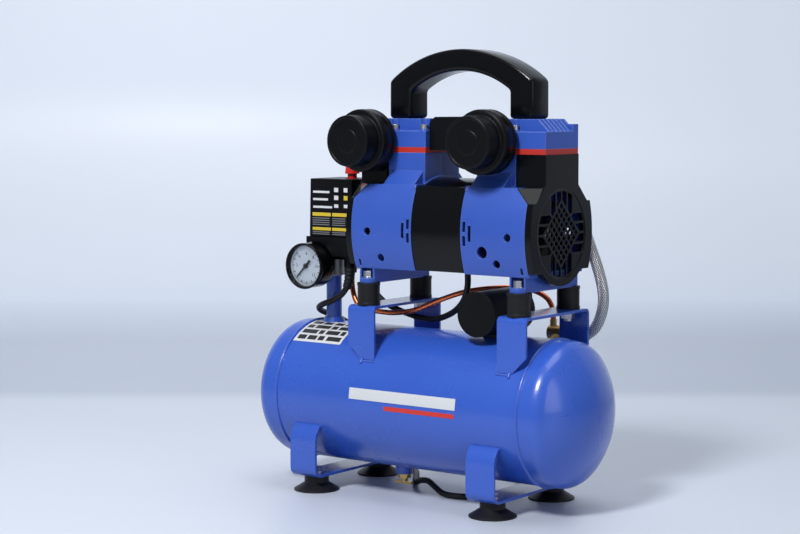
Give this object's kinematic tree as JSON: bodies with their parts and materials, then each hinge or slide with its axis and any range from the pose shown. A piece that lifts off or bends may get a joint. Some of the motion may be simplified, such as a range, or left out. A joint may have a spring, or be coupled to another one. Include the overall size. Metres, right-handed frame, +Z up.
{
  "type": "air compressor",
  "caption": "Oil-free air compressor for an airbrush: twin-cylinder pump with a carrying handle on a horizontal blue tank with suction feet.",
  "frame": {"origin": "on the floor, under the middle of the tank", "axes": "+X along the tank towards the pump's right-hand fan, +Z up, -Y is the side with the gauge and the intake filters"},
  "size_m": [0.4386, 0.313, 0.5005],
  "materials": {
    "blue_enamel": "smooth semi-gloss blue enamel on steel and die castings",
    "red_plate": "red coated valve plate",
    "black_plastic": "fine-grained black moulding",
    "black_gloss": "glossy black moulding",
    "black_rubber": "black rubber",
    "red_knob": "red moulded knob",
    "steel": "zinc-plated steel",
    "braid": "stainless braid",
    "cast_metal": "plain die-cast aluminium",
    "brass": "turned brass",
    "copper": "soft copper tube",
    "dial_white": "printed white dial",
    "clear": "clear window",
    "foam": "filter felt",
    "core_iron": "laminated iron"
  },
  "bodies": {
    "base": {"tank_shell": "blue_enamel", "tank_end_left": "blue_enamel", "tank_end_right": "blue_enamel", "foot_strap_left": "blue_enamel", "foot_strap_right": "blue_enamel", "suction_feet": "black_rubber", "foot_bolts": "steel", "saddle_left": "blue_enamel", "saddle_right": "blue_enamel", "dampers": "black_rubber", "damper_nuts": "steel", "lug_bolts": "steel", "crankcase_left": "blue_enamel", "crankcase_right": "blue_enamel", "stator_cover": "black_plastic", "stator_core": "core_iron", "windings": "copper", "bearings": "steel", "cylinder_sleeves": "steel", "valve_plates": "red_plate", "head_left": "blue_enamel", "head_right": "blue_enamel", "head_screws": "steel", "air_duct": "black_plastic", "handle": "black_gloss", "fan_cover_left": "black_plastic", "fan_cover_right": "black_plastic", "filter_left": "black_plastic", "filter_right": "black_plastic", "filter_foams": "foam", "riser_pipe": "blue_enamel", "manifold": "cast_metal", "switch_base": "black_plastic", "switch_cover": "black_plastic", "gauge_case": "black_gloss", "gauge_dial": "dial_white", "gauge_lens": "clear", "safety_valve": "brass", "outlet_coupler": "brass", "check_valve": "brass", "delivery_hose": "braid", "unloader_tube": "copper", "capacitor": "black_plastic", "motor_cable": "black_rubber", "power_cord": "black_rubber", "cord_coil": "black_rubber", "plug": "black_rubber"},
    "running_gear": {"shaft": "steel", "rotor": "core_iron", "eccentrics": "core_iron", "fans": "black_plastic"},
    "rod_left": {"rod_left": "cast_metal"},
    "rod_right": {"rod_right": "cast_metal"},
    "piston_left": {"piston_left": "cast_metal"},
    "piston_right": {"piston_right": "cast_metal"},
    "knob": {"switch_knob": "red_knob"},
    "needle": {"gauge_needle": "black_plastic"},
    "relief_ring": {"safety_ring": "steel"},
    "sleeve": {"coupler_sleeve": "steel"},
    "drain": {"drain_valve": "brass"}
  },
  "joints": [
    {"name": "shaft_spin", "type": "hinge", "parent": "base", "child": "running_gear", "pos_m": [0.0475, 0, 0.302], "axis": [1, 0, 0], "continuous": true},
    {"name": "rod_left_turn", "type": "hinge", "parent": "running_gear", "child": "rod_left", "pos_m": [-0.012, 0, 0.296], "axis": [1, 0, 0], "continuous": true},
    {"name": "rod_right_turn", "type": "hinge", "parent": "running_gear", "child": "rod_right", "pos_m": [0.107, 0, 0.308], "axis": [1, 0, 0], "continuous": true},
    {"name": "piston_left_slide", "type": "slide", "parent": "base", "child": "piston_left", "axis": [0, 0, 1], "range_m": [0, 0.012]},
    {"name": "piston_right_slide", "type": "slide", "parent": "base", "child": "piston_right", "axis": [0, 0, 1], "range_m": [-0.012, 0]},
    {"name": "knob_press", "type": "slide", "parent": "base", "child": "knob", "axis": [0, 0, 1], "range_m": [-0.005, 0]},
    {"name": "needle_turn", "type": "hinge", "parent": "base", "child": "needle", "pos_m": [-0.147, -0.046, 0.255], "axis": [0, 1, 0], "range_deg": [0, 270], "stiffness_Nm_per_rad": 0.001, "springref_deg": -11.46},
    {"name": "relief_pull", "type": "slide", "parent": "base", "child": "relief_ring", "axis": [-1, 0, 0], "range_m": [0, 0.003], "stiffness_N_per_m": 300, "springref_m": -0.001},
    {"name": "coupler_release", "type": "slide", "parent": "base", "child": "sleeve", "axis": [0, -1, 0], "range_m": [0, 0.004], "stiffness_N_per_m": 400, "springref_m": -0.001},
    {"name": "drain_turn", "type": "hinge", "parent": "base", "child": "drain", "pos_m": [-0.04, 0, 0.015], "axis": [0, 0, 1], "range_deg": [0, 180]}
  ],
  "couplings": [
    {"joint": "rod_left_turn", "follows": "shaft_spin", "ratio": -1},
    {"joint": "rod_right_turn", "follows": "shaft_spin", "ratio": -1}
  ]
}
